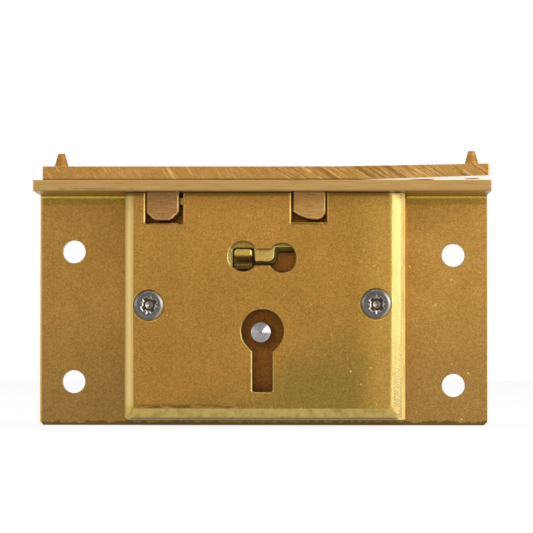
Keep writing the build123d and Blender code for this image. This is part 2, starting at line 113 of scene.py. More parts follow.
CAP_PALE_SIDE = (15.0, 20.0)
OLIVE_RIGHTWARD = 0.022
OLIVE_UPWARD = 0.04
OLIVE_CLOUD = 1.4
OLIVE_REACH = (0.75, 1.45)
SMUDGE_HEIGHT = (-12.9, -12.3, 0.4)
SMUDGE_SIDE = (1.0, -6.0)
SEAT_INNER = 0.16
SEAT_OUTER = 0.36
SEAT_SOFT = 0.06
SEAT_LIT_SIDE = (1.5, -2.5)
PLATE_SIDE = 38.0
PLATE_BOTTOM = -15.85
PLATE_FRONT = (-1.2, -1.7)
PLATE_FALL = (12.0, -15.0)
PLATE_WIDTH = (-20.0, 20.0)
PLATE_LEVELS = (0.95, 1.085)
PLATE_SPECKS = (10.0, 30.0)
PLATE_TOP_STRIP = (21.6, 22.8, 0.2)
PLATE_RAGGED_STRIP = (0.75, 0.5)
PLATE_LEFT_LINE = (0.35, 0.2)
INSIDE_HIGH = (7.0, 10.0)
PIN_SHADE_CENTRE = (0.1, -0.65)
PIN_SHADE = (2.5, 1.7)
SELVEDGE_EDGE = (-15.4, -15.6)
SELVEDGE_UNDERSIDE = 23.2
SELVEDGE_FOOT = (20.0, 21.0)
SELVEDGE_TOP = (24.0, 24.4)
SELVEDGE_OVER_CAP = (-10.2, -10.8)
SELVEDGE_LINE = 0.34
SELVEDGE_LINE_HALF = 0.05
SELVEDGE_LINE_SOFT = 0.06
SELVEDGE_LINE_REACH = (-34.0, -21.0, 1.0)
SELVEDGE_LIP = (0.24, 0.12)
LINK_BEND = 13.0
LINK_POLISH = (-1, 0)
SELVEDGE_POLISH = (-2, 6)
LINK_BOTTOM = 25.0
LINK_MARKS_CHANGE = (-6.0, 8.0)
LINK_SEAM = (0.3, 0.16)
LINK_SEAM_END = (24.0, 12.0)
RIGHT_LUG = (-1.0, 1.0)
LUG_TOP = (20.5, 23.0)
STUMP_BROW = 12.65
STUMP_SHADE = (0.55, -0.2)
STUMP_RAGGED = 0.3
STUMP_LINE = (11.05, 11.22, 0.1)
BOLT_TAIL = (-4.6, -4.3)
LEVER_TOP = (13.75, 14.05)
REAR_LEVER_SHADE = (11.65, 11.3)
REAR_LEVER_LINE = (13.2, 13.55, 0.06)
REAR_LEVER_LINE_START = (2.5, 3.0)

# Directions that a surface faces, as soft steps of its normal's part along an axis
RIGHTWARD = (0.2, 0.5)
LEFTWARD = (-0.2, -0.5)
FRONTWARD = (-0.5, -0.8)
DOWNWARD = (-0.3, -0.6)
LEVEL_UP = (0.8, 0.95)
LEVEL_DOWN = (-0.8, -0.95)
BEND_SHADE = (0.2, 0.66, 0.05)
BEND_SIDE = (0.87, 0.97, 0.03)
BEND_UNDER = (-0.72, -0.92)
SELVEDGE_BEND = (-0.9, -0.15, 0.1)
SELVEDGE_UNDER = (-0.1, -0.6)
POCKET_RIGHT = (0.3, 0.6)
SCREW_RIGHT = (0.15, 0.35)

# How far a surface turns from the front or the back, as soft steps of its normal's part along Y
BENT = (0.9995, 0.993)
SCREW_WALL = (0.985, 0.93)
PUNCHED = (0.96, 0.9)
POCKET_EDGE = (0.95, 0.85)
SIDEWAYS = (0.25, 0.1)

# How much of a noise shows, as soft steps of its value
WHOLE = (0.2, 0.8)
EVEN = (0.3, 0.7)
CLOSE = (0.35, 0.65)
PATCHES = (0.52, 0.68)
PALE_LINES = (0.52, 0.7)
DARK_LINES = (0.46, 0.3)
PALE_GRAIN = (0.5, 0.72)
BLOTCHES = (0.32, 0.68)
SPECKS = (0.76, 0.88)
SCRATCHES = (0.74, 0.8)
FLECKS = (0.6, 0.74)
STREAKS = (0.5, 0.66)
STAINS = (0.5, 0.75)
MOTTLE_DARK = (0.44, 0.72)
MOTTLE_PALE = (0.46, 0.28)
DRAWN_PALE = (0.5, 0.75)
DRAWN_DARK = (0.42, 0.28)
SAWN_PALE = (0.55, 0.75)
SAWN_DARK = (0.48, 0.3)
SAWN_STRENGTH = (0.38, 0.6)
BROKEN_LINE = (0.42, 0.6)
BROKEN_SEAT = (0.35, 0.6)

# Edges: the relief of a finish, how bright wear shows, and a brass's roughness below and above its usual
RELIEF = 0.012
WEAR = (0.01, 0.35)
ROUGH_BELOW = 0.06
ROUGH_ABOVE = 0.08

# Cap screw heads: a flat face with a round rim, and the recess as depths below the face
SCREW_HEAD_HEIGHT = 1.5
SCREW_SHANK_RADIUS = 1.25
SCREW_SECTORS = 288
SCREW_FLAT_RADIUS = 1.76
SCREW_RIM_ROUND = 0.9
SCREW_RIM = (2.05, 2.15)
SCREW_MIDDLE = (1.9, 1.8)
SCREW_GLINT = (1.0, 0.6)
SCREW_CROWN = (0.2, 0.6)
CENTRE_OUTSIDE = (0, 0.05)
CENTRE_INSIDE = (0, -0.05)
CENTRE_COVER = (0.03, -0.03)
CENTRE_DIRT = (0, 0.06)
SHARP_ANGLE = 40
FACE_STEPS = 26
LAST_FACE_STEPS = (0.6, 0.25, 0)
WING_REACH = 1.45
WING_HALF_WIDTH = 0.5
WING_TAPER = 0.9
WING_CORNER = 0.02
RECESS_RADIUS = 1.13
RECESS_SLOPE = 0.2
RECESS_LIP = 0.09
RECESS_FLOOR = 0.8
CENTRE_RADIUS = 0.62
CENTRE_DEPTH = 0.5
CENTRE_PIT = 0.85
CENTRE_POINT = 0.05
TICK_END = 1.85
TICK_DEPTH = 0.1
TICK_HALF_WIDTH = 0.2
TICK_SOFT = 0.04
SCREWS = {
    "cap_screw_left": {"turn": 31.0, "offset": (0.10, 0.03)},
    "cap_screw_right": {"turn": 45.0, "offset": (0.11, -0.12)},
}

# The recess's rings: radius and rise above the pit, distance from the rim and depth below it,
# and distance inward from the wings' outline and depth below the face
CENTRE_CONE = ((0.1, 0), (0.25, 0.1), (0.45, 0.24))
CENTRE_RIM = ((-0.05, 0.02), (0, 0), (0.03, 0.04))
CENTRE_RIM_WIDTH = 0.06
RECESS_WALL = (
    (RECESS_SLOPE, RECESS_FLOOR),
    (RECESS_SLOPE - 0.02, RECESS_LIP + 0.05),
    (RECESS_SLOPE - 0.04, RECESS_LIP),
    (0.02, 0.01),
    (0, 0),
)

# Lever springs, which bend between their foot on the lever and the bolt's rail
SPRING_HEEL = 8.6
SPRING_TIP_HEIGHT = 16.62
SPRING_BOW = 0.35
SPRING_THICKNESS = 0.25
SPRING_STEPS = 30
SPRING_FOOT_STEPS = 3

# Colours of each material, from 0 to 255 as seen on a screen
PALETTES = {
    "plate_brass": {
        "base": (190, 143, 74), "cloud": (176, 131, 64), "edge": (226, 192, 118), "speck": (250, 222, 130),
        "low": (156, 120, 66), "top strip": (160, 130, 54), "shade below cap": (138, 115, 70),
        "inside": (157, 101, 47), "inside high": (180, 115, 53), "rust": (118, 62, 26),
        "fleck": (206, 126, 58), "pin shadow": (100, 56, 28),
        "underside": (168, 137, 86), "bend": (184, 163, 66), "shade over cap": (108, 90, 84),
        "ragged strip": (95, 78, 43), "left line": (228, 190, 112),
        "selvedge": (204, 162, 97), "selvedge pale": (226, 192, 126), "selvedge dark": (150, 112, 58),
        "selvedge line": (84, 58, 30), "selvedge lip": (146, 114, 66), "selvedge top": (220, 182, 116),
    },
    "cap_brass": {
        "base": (182, 134, 64), "cloud": (173, 128, 60), "edge": (232, 206, 130), "speck": (250, 222, 130),
        "olive": (145, 120, 58), "warm": (198, 144, 70), "pale": (204, 158, 78),
        "smudge": (78, 66, 32), "scratch": (112, 82, 34),
        "left bend": (205, 179, 115), "left foot": (186, 160, 84),
        "right bend highlight": (250, 218, 128), "right shade": (153, 136, 86), "right streak": (134, 108, 62),
        "right side shade": (118, 108, 88), "low bend": (190, 165, 94), "low dark": (150, 122, 60),
        "low pale": (204, 180, 106), "low under shade": (100, 84, 48),
        "wall": (188, 147, 80), "top": (132, 98, 34),
        "rim": (210, 180, 108), "rim right highlight": (234, 208, 128), "rim left shade": (190, 156, 86),
        "rim down shade": (112, 92, 46), "screw seat highlight": (240, 212, 108),
    },
    "link_brass": {
        "base": (202, 152, 84), "cloud": (190, 140, 74), "edge": (232, 196, 124),
        "shallow mark": (244, 208, 132), "steep mark": (248, 208, 122), "dark mark": (124, 84, 42),
        "fine dark": (140, 98, 48), "fine pale": (232, 192, 120),
        "seam": (104, 66, 32), "underside": (246, 230, 190),
    },
    "lug_brass": {
        "base": (182, 134, 82), "cloud": (168, 121, 74), "edge": (240, 212, 150),
        "right lug": (210, 162, 92), "top": (160, 116, 68),
        "pale line": (214, 168, 106), "dark line": (140, 94, 56),
        "left bevel shade": (164, 122, 76), "low bevel highlight": (246, 222, 156), "right bevel highlight": (250, 228, 160),
    },
    "stud_brass": {"base": (200, 160, 88), "cloud": (172, 132, 68), "edge": (236, 206, 134)},
    "stump_brass": {
        "base": (216, 184, 96), "cloud": (192, 158, 78), "edge": (240, 218, 146),
        "shade below brow": (72, 55, 27), "line": (138, 114, 54),
    },
    "bolt_brass": {
        "base": (214, 168, 80), "cloud": (184, 138, 60), "edge": (236, 204, 120),
        "tail": (160, 102, 44), "rust": (122, 64, 26),
    },
    "lever_brass_front": {
        "base": (214, 180, 100), "cloud": (198, 164, 88), "edge": (240, 218, 142),
        "grain": (230, 200, 120), "top": (166, 136, 64), "pocket edge highlight": (255, 244, 170),
    },
    "lever_brass_rear_shaded": {
        "base": (100, 80, 36), "cloud": (82, 64, 28), "edge": (168, 142, 74),
        "grain": (118, 96, 44), "low": (44, 33, 18), "line": (30, 22, 12),
    },
    "spike_brass": {
        "base": (176, 129, 67), "cloud": (162, 116, 57), "edge": (226, 188, 112),
        "pale ring": (204, 160, 90), "dark ring": (140, 96, 44),
    },
    "screw_steel": {
        "base": (118, 114, 109), "cloud": (98, 94, 90), "edge": (210, 208, 204), "stain": (86, 80, 76),
        "dirt": (82, 58, 46), "centre": (124, 116, 102), "centre right highlight": (214, 210, 198),
        "wall": (146, 144, 138), "glint": (226, 224, 216), "rim": (164, 160, 148),
    },
    "pin_steel": {"base": (164, 161, 158), "cloud": (146, 144, 142), "edge": (222, 220, 216)},
    "spring_steel": {"base": (150, 148, 146), "cloud": (104, 104, 108), "edge": (190, 188, 184)},
}
OLIVE_TINT = (0.95, 1.0, 0.88, 1)
RED_TINT = (1.05, 0.99, 0.98, 1)


def rgb(red, green, blue):
    """Turn a colour given as 0 to 255, as seen on a screen, into the linear values that shaders use."""
    def linear(value):
        share = value / 255
        return share / 12.92 if share <= 0.04045 else ((share + 0.055) / 1.055) ** 2.4
    return (linear(red), linear(green), linear(blue), 1.0)


def from_place(place, step):
    """Give a soft step that is measured from a place."""
    return [place + part for part in step]


class Tree:
    """A node tree, with short calls that add a node and join it to the others."""

    def __init__(self, owner):
        owner.use_nodes = True
        self.tree = owner.node_tree
        self.tree.nodes.clear()

    def fill(self, socket, value):
        """Set an input to a value, or join it to another socket."""
        if isinstance(value, bpy.types.NodeSocket):
            self.tree.links.new(value, socket)
        else:
            socket.default_value = value

    def add(self, kind, inputs=None, **settings):
        """Add a node, and set its properties and its inputs."""
        node = self.tree.nodes.new(kind)
        for key, value in settings.items():
            setattr(node, key, value)
        for key, value in (inputs or {}).items():
            self.fill(node.inputs[key], value)
        return node

    def math(self, operation, first, second=0.0):
        """Work out one sum of two values."""
        return self.add("ShaderNodeMath", {0: first, 1: second}, operation=operation).outputs[0]

    def times(self, *values):
        """Multiply several masks."""
        product = values[0]
        for value in values[1:]:
            product = self.math("MULTIPLY", product, value)
        return product

    def spread(self, value, low, high, to_low=0.0, to_high=1.0):
        """Map a range onto another, smoothly at both ends."""
        inputs = {"Value": value, "From Min": low, "From Max": high, "To Min": to_low, "To Max": to_high}
        return self.add("ShaderNodeMapRange", inputs, interpolation_type="SMOOTHSTEP").outputs[0]

    def mix(self, factor, first, second, kind="RGBA"):
        """Blend two colours, or two values where kind is FLOAT."""
        node = self.add("ShaderNodeMix", data_type=kind)
        for key, value in {"Factor": factor, "A": first, "B": second}.items():
            self.fill(next(s for s in node.inputs if s.name == key and s.enabled), value)
        return next(s for s in node.outputs if s.enabled)


class Shader(Tree):
    """A metal's material, which is started with a colour and built up in layers."""

    def __init__(self, name, ending=""):
        self.material = bpy.data.materials.new(name + ending)
        super().__init__(self.material)
        self.palette = PALETTES[name]
        coords = self.add("ShaderNodeTexCoord").outputs
        in_metres = {0: coords["Object"], "Scale": 1 / MM}
        self.place = self.add("ShaderNodeVectorMath", in_metres, operation="SCALE").outputs[0]
        self.x, self.y, self.z = self.add("ShaderNodeSeparateXYZ", {0: self.place}).outputs
        faces = self.add("ShaderNodeSeparateXYZ", {0: coords["Normal"]})
        self.face_x, self.face_y, self.face_z = faces.outputs
        self.color = None
        self.rough = None
        self.height = None
        self.matte = None

    def ink(self, name):
        """Give a colour of the material's palette."""
        return rgb(*self.palette[name])

    def between(self, value, low, high, soft):
        """Give 1 between two values and 0 outside them, with soft ends."""
        rise = self.spread(value, low - soft, low + soft)
        return self.times(rise, self.spread(value, high + soft, high - soft))

    def noise(self, size, detail=2.0, roughness=0.5, stretch=(1, 1, 1), turn=0.0, shift=0.0):
        """Give a noise of about size millimetres, stretched along axes that are turned about Y."""
        turning = {"Vector": self.place, "Rotation": (0, radians(turn), 0), "Location": (shift,) * 3}
        turned = self.add("ShaderNodeMapping", turning, vector_type="POINT").outputs[0]
        scaling = {0: turned, 1: [1 / (size * long_way) for long_way in stretch]}
        placed = self.add("ShaderNodeVectorMath", scaling, operation="MULTIPLY").outputs[0]
        inputs = {"Vector": placed, "Scale": 1.0, "Detail": detail, "Roughness": roughness}
        return self.add("ShaderNodeTexNoise", inputs).outputs["Fac"]

    def strokes(self, gap, width, turn, shift=0.0):
        """Give long thin straight lines, about gap millimetres apart, that lean by turn from upright."""
        wave = self.noise(gap, detail=0.0, stretch=(1, 1, 40), turn=turn, shift=shift)
        from_line = self.math("ABSOLUTE", self.math("SUBTRACT", wave, 0.5))
        return self.spread(from_line, width / gap, 0.2 * width / gap)

    def far(self, x, z):
        """Give the distance from a line along Y."""
        across = self.math("SUBTRACT", self.x, x)
        upward = self.math("SUBTRACT", self.z, z)
        return self.math("SQRT", self.math("ADD", self.times(across, across), self.times(upward, upward)))

    def rings(self, x, z, pitch):
        """Give a noise that runs in rings round a centre, as a lathe leaves them."""
        place = self.add("ShaderNodeCombineXYZ", {0: self.math("DIVIDE", self.far(x, z), pitch)}).outputs[0]
        return self.add("ShaderNodeTexNoise", {"Vector": place, "Scale": 1.0, "Detail": 3.0}).outputs["Fac"]

    def layer(self, mask, color, rough=None, share=1.0):
        """Lay a colour of the palette, and a roughness, over what is there, where the mask is."""
        self.color = self.mix(self.times(mask, share), self.color, self.ink(color))
        if rough is not None:
            inputs = {"Value": mask, "To Min": self.rough, "To Max": rough}
            self.rough = self.add("ShaderNodeMapRange", inputs).outputs[0]

    def shade(self, level):
        """Make the colour lighter or darker by a factor."""
        inputs = {0: self.color, "Scale": level}
        self.color = self.add("ShaderNodeVectorMath", inputs, operation="SCALE").outputs[0]

    def grain(self, amount, shift=0.0):
        """Break the colour up with a fine grain and with soft reddish and olive blotches."""
        blotch = self.noise(0.6, detail=2.0, roughness=0.55, shift=shift + 8.1)
        tint = self.mix(self.spread(blotch, *BLOTCHES), OLIVE_TINT, RED_TINT)
        inputs = {0: self.color, 1: tint}
        self.color = self.add("ShaderNodeVectorMath", inputs, operation="MULTIPLY").outputs[0]
        fine = self.noise(0.25, detail=2.0, roughness=0.6, shift=shift + 3.7)
        self.shade(self.spread(fine, *WHOLE, 1 - amount, 1 + amount))

    def specks(self, mask, shift=0.0):
        """Scatter small golden specks where the mask is."""
        speck = self.noise(0.55, detail=0.0, shift=shift + 11.3)
        self.layer(self.times(self.spread(speck, *SPECKS), mask), "speck", share=0.75)

    def rounded(self, width):
        """Give a normal that rounds the edges over by width millimetres."""
        return self.add("ShaderNodeBevel", {"Radius": width * MM}, samples=6).outputs[0]

    def worn_edges(self, width):
        """Give 1 on edges narrower than width millimetres and 0 on flat stretches."""
        true = self.add("ShaderNodeNewGeometry").outputs["True Normal"]
        normals = {0: self.rounded(width), 1: true}
        along = self.add("ShaderNodeVectorMath", normals, operation="DOT_PRODUCT").outputs["Value"]
        return self.spread(self.math("SUBTRACT", 1.0, along), *WEAR)

    def turned_away(self, least, most):
        """Give 1 where the surface bends or is bevelled away from the front or the back."""
        return self.spread(self.math("ABSOLUTE", self.face_y), least, most)

    def rubbed(self, edge, share=0.6):
        """Rub the edges bright, round them over and finish the material as a metal."""
        self.layer(self.worn_edges(edge), "edge", share=share)
        relief = {"Height": self.height, "Distance": RELIEF * MM, "Normal": self.rounded(edge)}
        normal = self.add("ShaderNodeBump", relief).outputs[0]
        inputs = {"Base Color": self.color, "Roughness": self.rough, "Normal": normal, "Metallic": 1.0}
        if self.matte is not None:
            inputs["Metallic"] = self.math("SUBTRACT", 1.0, self.matte)
        surface = self.add("ShaderNodeBsdfPrincipled", inputs).outputs[0]
        self.add("ShaderNodeOutputMaterial", {"Surface": surface})
        return self.material


def satin_brass(name, roughness=0.36, shift=0.0):
    """Start a satin brass with cloudy tarnish and a finely uneven polish."""
    s = Shader(name)
    cloud = s.noise(9.0, detail=4.0, roughness=0.6, shift=shift)
    speckle = s.noise(0.32, detail=3.0, roughness=0.65, shift=shift + 3.7)
    s.color = s.mix(s.spread(cloud, *EVEN), s.ink("cloud"), s.ink("base"))
    s.rough = s.spread(speckle, *WHOLE, roughness - ROUGH_BELOW, roughness + ROUGH_ABOVE)
    s.height = speckle
    return s


def cap_brass():
    """The cap: warm above, olive and speckled lower down, polished where the sheet is bent or punched, with
    painted highlights and shade there by the way each part faces.
    """
    s = satin_brass("cap_brass", shift=5.0)
    cloud = s.noise(14.0, detail=5.0, roughness=0.65, shift=41.0)
    toward_corner = s.math("SUBTRACT", s.times(s.x, OLIVE_RIGHTWARD), s.times(s.z, OLIVE_UPWARD))
    olive = s.spread(s.math("ADD", toward_corner, s.times(cloud, OLIVE_CLOUD)), *OLIVE_REACH)
    s.layer(olive, "olive", share=0.85)
    s.shade(s.spread(s.z, *CAP_HEIGHT, *CAP_LEVELS))
    s.layer(s.times(s.between(s.x, *CAP_WARM_WIDTH), s.spread(s.z, *CAP_WARM_FOOT)), "warm", share=0.5)
    s.layer(s.spread(s.x, *CAP_PALE_SIDE), "pale", share=0.6)
    s.grain(0.27, shift=5.0)
    s.specks(s.spread(olive, 0.0, 1.0, 0.5, 1.0), shift=5.0)
    cap_dirt(s)
    cap_bends(s)
    cap_rims(s)
    return s.rubbed(0.12)


def cap_dirt(s):
    """A dark smudge along the bottom bend and a few short scratches."""
    dirt = s.noise(0.8, detail=3.0, stretch=(3, 1, 0.6), shift=47.0)
    smudge = s.times(s.between(s.z, *SMUDGE_HEIGHT), s.spread(s.x, *SMUDGE_SIDE), s.spread(dirt, *CLOSE))
    s.layer(smudge, "smudge", share=0.95)
    scratch = s.noise(0.07, detail=1.0, stretch=(14, 1, 1), turn=12, shift=53.0)
    s.layer(s.spread(scratch, *SCRATCHES), "scratch", share=0.6)


def cap_bends(s):
    """The bent sides and the olive top strip: polished and pale on the left; on the right a painted
    highlight, with painted shade where the bend turns further to the side; mottled below, with painted shade
    where the bottom bend faces down.
    """
    bend = s.turned_away(*BENT)
    mottle = s.noise(1.2, detail=4.0, roughness=0.6, shift=57.0)
    left = s.times(bend, s.spread(s.x, *CAP_LEFT_BEND))
    right = s.times(bend, s.spread(s.x, *CAP_RIGHT_BEND))
    low_start, low_end = (s.spread(s.x, *end) for end in CAP_LOW_BEND_ENDS)
    low = s.times(bend, s.spread(s.z, *CAP_LOW_BEND), low_start, low_end)
    s.layer(left, "left bend", rough=0.5, share=0.95)
    s.layer(s.times(left, s.spread(s.z, *CAP_LEFT_FOOT)), "left foot", share=0.8)
    # The right bend: polished smooth and painted brighter than the left as a highlight, with painted shade
    # where it turns further to the side.
    s.layer(right, "right bend highlight", rough=0.17, share=0.95)
    s.layer(s.times(right, s.between(s.face_x, *BEND_SHADE)), "right shade", share=0.95)
    streak = s.noise(0.6, detail=3.0, stretch=(0.5, 1, 5), shift=58.0)
    s.layer(s.times(right, s.spread(streak, *STREAKS)), "right streak", share=0.3)
    s.layer(s.times(right, s.between(s.face_x, *BEND_SIDE)), "right side shade", share=0.9)
    s.layer(low, "low bend", rough=0.36, share=0.95)
    s.layer(s.times(low, s.spread(mottle, *MOTTLE_DARK)), "low dark", share=0.7)
    s.layer(s.times(low, s.spread(mottle, *MOTTLE_PALE)), "low pale", share=0.5)
    # Painted shade where the bottom bend faces down.
    s.layer(s.times(low, s.spread(s.face_z, *BEND_UNDER)), "low under shade", share=0.85)
    outer = s.math("MAXIMUM", left, s.math("MAXIMUM", right, low))
    s.layer(s.times(s.turned_away(*SIDEWAYS), outer), "wall", rough=0.36, share=0.95)
    top = s.times(s.spread(s.z, *CAP_TOP), s.spread(s.x, *reversed(CAP_RIGHT_BEND)))
    s.layer(top, "top", share=0.85)


def cap_rims(s):
    """The punched rims: polished pale, with a painted highlight where they face right, painted shade where
    they face left or down, and a painted highlight on a ring round each screw's seat.
    """
    inner = s.times(s.between(s.x, *CAP_FLAT_WIDTH), s.spread(s.z, *CAP_FLAT_FOOT))
    rim = s.times(s.turned_away(*PUNCHED), inner)
    s.layer(rim, "rim", rough=0.3, share=0.9)
    # Painted highlight where the rims face right, painted shade where they face left or down.
    s.layer(s.times(rim, s.spread(s.face_x, *RIGHTWARD)), "rim right highlight", share=0.9)
    s.layer(s.times(rim, s.spread(s.face_x, *LEFTWARD)), "rim left shade", share=0.9)
    s.layer(s.times(rim, s.spread(s.face_z, *DOWNWARD)), "rim down shade", share=0.9)
    for node in SCREWS:
        x, z, radius = screw_place(node)
        seat = s.between(s.far(x, z), radius + SEAT_INNER, radius + SEAT_OUTER, SEAT_SOFT)
        upper_right = s.math("ADD", s.math("SUBTRACT", s.x, x), s.math("SUBTRACT", s.z, z))
        broken = s.spread(s.noise(2.2, detail=1.0, shift=59.0), *BROKEN_SEAT, 0.5, 1.0)
        lit = s.spread(upper_right, *SEAT_LIT_SIDE, 0.3, 1.0)
        # A painted highlight on a broken ring round each screw's seat, strongest towards its lower left.
        s.layer(s.times(seat, broken, lit), "screw seat highlight", share=0.8)


def plate_brass():
    """The bent plate: darker low down, with painted shade just below the cap, reddish inside the case, drawn
    lines on the selvedge's edge.
    """
    s = satin_brass("plate_brass", shift=1.0)
    s.layer(s.spread(s.z, *PLATE_FALL), "low", share=0.9)
    s.shade(s.spread(s.x, *PLATE_WIDTH, *PLATE_LEVELS))
    front = s.spread(s.y, *PLATE_FRONT)
    over_cap = s.times(s.between(s.x, CASE_LEFT, CASE_RIGHT, 0.1), front)
    s.layer(s.times(s.between(s.z, *PLATE_TOP_STRIP), front), "top strip", share=0.7)
    case_inside(s, over_cap)
    # Painted shade on the strip of plate just below the cap.
    shade_below_cap = s.times(over_cap, s.spread(s.z, CASE_BOTTOM, CASE_BOTTOM - CASE_EDGE))
    s.layer(shade_below_cap, "shade below cap", share=0.9)
    selvedge_underside(s, over_cap)
    s.grain(0.27, shift=1.0)
    s.specks(s.spread(s.x, *PLATE_SPECKS, 0.3, 1.0), shift=1.0)
    selvedge_front(s)
    top = s.times(s.spread(s.z, *SELVEDGE_TOP), s.spread(s.face_z, *LEVEL_UP))
    polished = s.times(top, s.spread(s.x, *from_place(LINK_BEND, SELVEDGE_POLISH)))
    s.layer(polished, "selvedge top", rough=0.07)
    plate_edges(s)
    return s.rubbed(0.12, share=0.45)


def case_inside(s, over_cap):
    """The plate behind the cap: reddish, with rust, flecks and a painted shadow of the key pin, below it and
    to its right.
    """
    rust = s.noise(1.6, detail=4.0, roughness=0.7, shift=61.0)
    flecks = s.noise(0.35, detail=2.0, shift=62.0)
    inside = s.times(over_cap, s.spread(s.z, CASE_BOTTOM, CASE_BOTTOM + CASE_EDGE), s.spread(s.z, *CASE_TOP))
    s.layer(inside, "inside")
    s.layer(s.times(inside, s.spread(s.z, *INSIDE_HIGH)), "inside high", share=0.9)
    s.layer(s.times(inside, s.spread(rust, *PATCHES)), "rust", share=0.8)
    s.layer(s.times(inside, s.spread(flecks, *FLECKS)), "fleck", share=0.5)
    # Painted shadow of the key pin on the plate.
    s.layer(s.times(inside, s.spread(s.far(*PIN_SHADE_CENTRE), *PIN_SHADE)), "pin shadow", share=0.7)


def selvedge_underside(s, over_cap):
    """The selvedge's underside: painted shade over the cap, and a painted yellow bounce light in the bend
    beside it.
    """
    high = s.spread(s.z, *SELVEDGE_FOOT)
    under = s.times(high, s.spread(s.face_z, *SELVEDGE_UNDER))
    s.layer(under, "underside", share=0.9)
    # Painted bounce light: the concave bend is made paler and yellow where it would lie in shade.
    s.layer(s.times(high, s.between(s.face_z, *SELVEDGE_BEND)), "bend", share=0.85)
    # Painted shade on the underside where it overhangs the cap.
    s.layer(s.times(under, over_cap, s.spread(s.y, *SELVEDGE_OVER_CAP)), "shade over cap", share=0.95)


def plate_edges(s):
    """The plate's edges: a ragged dark strip along the bottom and a pale line down the left."""
    front = s.spread(s.face_y, *FRONTWARD)
    ragged = s.noise(0.7, detail=3.0, roughness=0.6, stretch=(1.6, 1, 1), shift=63.0)
    height = s.math("ADD", s.z, s.spread(ragged, *EVEN, -0.25, 0.25))
    strip = s.spread(height, *from_place(PLATE_BOTTOM, PLATE_RAGGED_STRIP))
    s.layer(s.times(front, strip), "ragged strip", share=0.85)
    line = s.spread(s.x, *from_place(-PLATE_SIDE, PLATE_LEFT_LINE))
    s.layer(s.times(front, line), "left line", share=0.85)


def selvedge_front(s):
    """The selvedge's front edge, with drawn lines and a broken dark line low on its left."""
    edge = s.times(s.spread(s.y, *SELVEDGE_EDGE), s.spread(s.face_y, *FRONTWARD))
    drawn = s.noise(0.16, detail=3.0, stretch=(26, 1, 1), shift=67.0)
    s.layer(edge, "selvedge", rough=0.3)
    s.layer(s.times(edge, s.spread(drawn, *DRAWN_PALE)), "selvedge pale", share=0.5)
    s.layer(s.times(edge, s.spread(drawn, *DRAWN_DARK)), "selvedge dark", share=0.5)
    broken = s.spread(s.noise(1.0, detail=2.0, stretch=(1.6, 1, 1), shift=71.0), *BROKEN_LINE)
    low = SELVEDGE_UNDERSIDE + SELVEDGE_LINE
    height = s.between(s.z, low - SELVEDGE_LINE_HALF, low + SELVEDGE_LINE_HALF, SELVEDGE_LINE_SOFT)
    line = s.times(edge, height, s.between(s.x, *SELVEDGE_LINE_REACH), broken)
    s.layer(line, "selvedge line", share=0.75)
    lip = s.spread(s.z, *from_place(SELVEDGE_UNDERSIDE, SELVEDGE_LIP))
    s.layer(s.times(edge, lip), "selvedge lip", share=0.65)


def link_brass():
    """The link plate: saw marks on its front edge, and a smooth underside right of the bend, painted near
    white as a reflection.
    """
    s = satin_brass("link_brass", shift=9.0)
    s.grain(0.2, shift=9.0)
    front = s.spread(s.face_y, *FRONTWARD)
    rightward = s.spread(s.x, *LINK_MARKS_CHANGE)
    leftward = s.math("SUBTRACT", 1.0, rightward)
    steep = s.strokes(1.5, 0.03, 30, shift=73.0)
    shallow = s.strokes(0.6, 0.03, 58, shift=79.0)
    dark = s.strokes(0.7, 0.035, 58, shift=81.0)
    strength = s.spread(s.noise(2.2, detail=1.0, shift=77.0), *SAWN_STRENGTH, 0.1, 1.0)
    s.layer(s.times(front, shallow, rightward, strength), "shallow mark", share=0.85)
    s.layer(s.times(front, steep, leftward, strength), "steep mark", share=0.8)
    s.layer(s.times(front, dark, rightward), "dark mark", share=0.65)
    fine = s.noise(0.12, detail=2.0, stretch=(1, 1, 12), turn=44, shift=75.0)
    s.layer(s.times(front, s.spread(fine, *SAWN_DARK)), "fine dark", share=0.45)
    s.layer(s.times(front, s.spread(fine, *SAWN_PALE)), "fine pale", share=0.45)
    low = s.spread(s.z, *from_place(LINK_BOTTOM, LINK_SEAM))
    s.layer(s.times(front, low, s.spread(s.x, *LINK_SEAM_END)), "seam", share=0.85)
    past_bend = s.spread(s.x, *from_place(LINK_BEND, LINK_POLISH))
    under = s.times(s.spread(s.face_z, *LEVEL_DOWN), past_bend)
    # The underside right of the bend: made smooth, and painted near white as a reflection of the white room.
    s.layer(under, "underside", rough=0.04)
    smooth = {"Value": under, "To Min": s.height, "To Max": 0.5}
    s.height = s.add("ShaderNodeMapRange", smooth).outputs[0]
    return s.rubbed(0.12, share=0.35)


def lug_brass():
    """The lugs: copper-brown, with a level grain and filed bevels, painted with a highlight where they face
    right or down and with shade where they face left.
    """
    s = satin_brass("lug_brass", shift=13.0)
    s.layer(s.spread(s.x, *RIGHT_LUG), "right lug", share=0.6)
    s.layer(s.spread(s.z, *LUG_TOP), "top", share=0.5)
    level = s.noise(0.14, detail=3.0, stretch=(16, 1, 1), shift=83.0)
    s.layer(s.spread(level, *PALE_LINES), "pale line", share=0.5)
    s.layer(s.spread(level, *DARK_LINES), "dark line", share=0.55)
    s.grain(0.16, shift=13.0)
    s.height = level
    # Filed bevels with a painted highlight where they face right or down and painted shade where they face
    # left.
    bevel = s.turned_away(*BENT)
    s.layer(s.times(bevel, s.spread(s.face_x, *LEFTWARD)), "left bevel shade", share=0.9)
    s.layer(s.times(bevel, s.spread(s.face_z, *LEFTWARD)), "low bevel highlight", rough=0.3, share=0.9)
    s.layer(s.times(bevel, s.spread(s.face_x, *RIGHTWARD)), "right bevel highlight", rough=0.22, share=0.95)
    return s.rubbed(0.1)


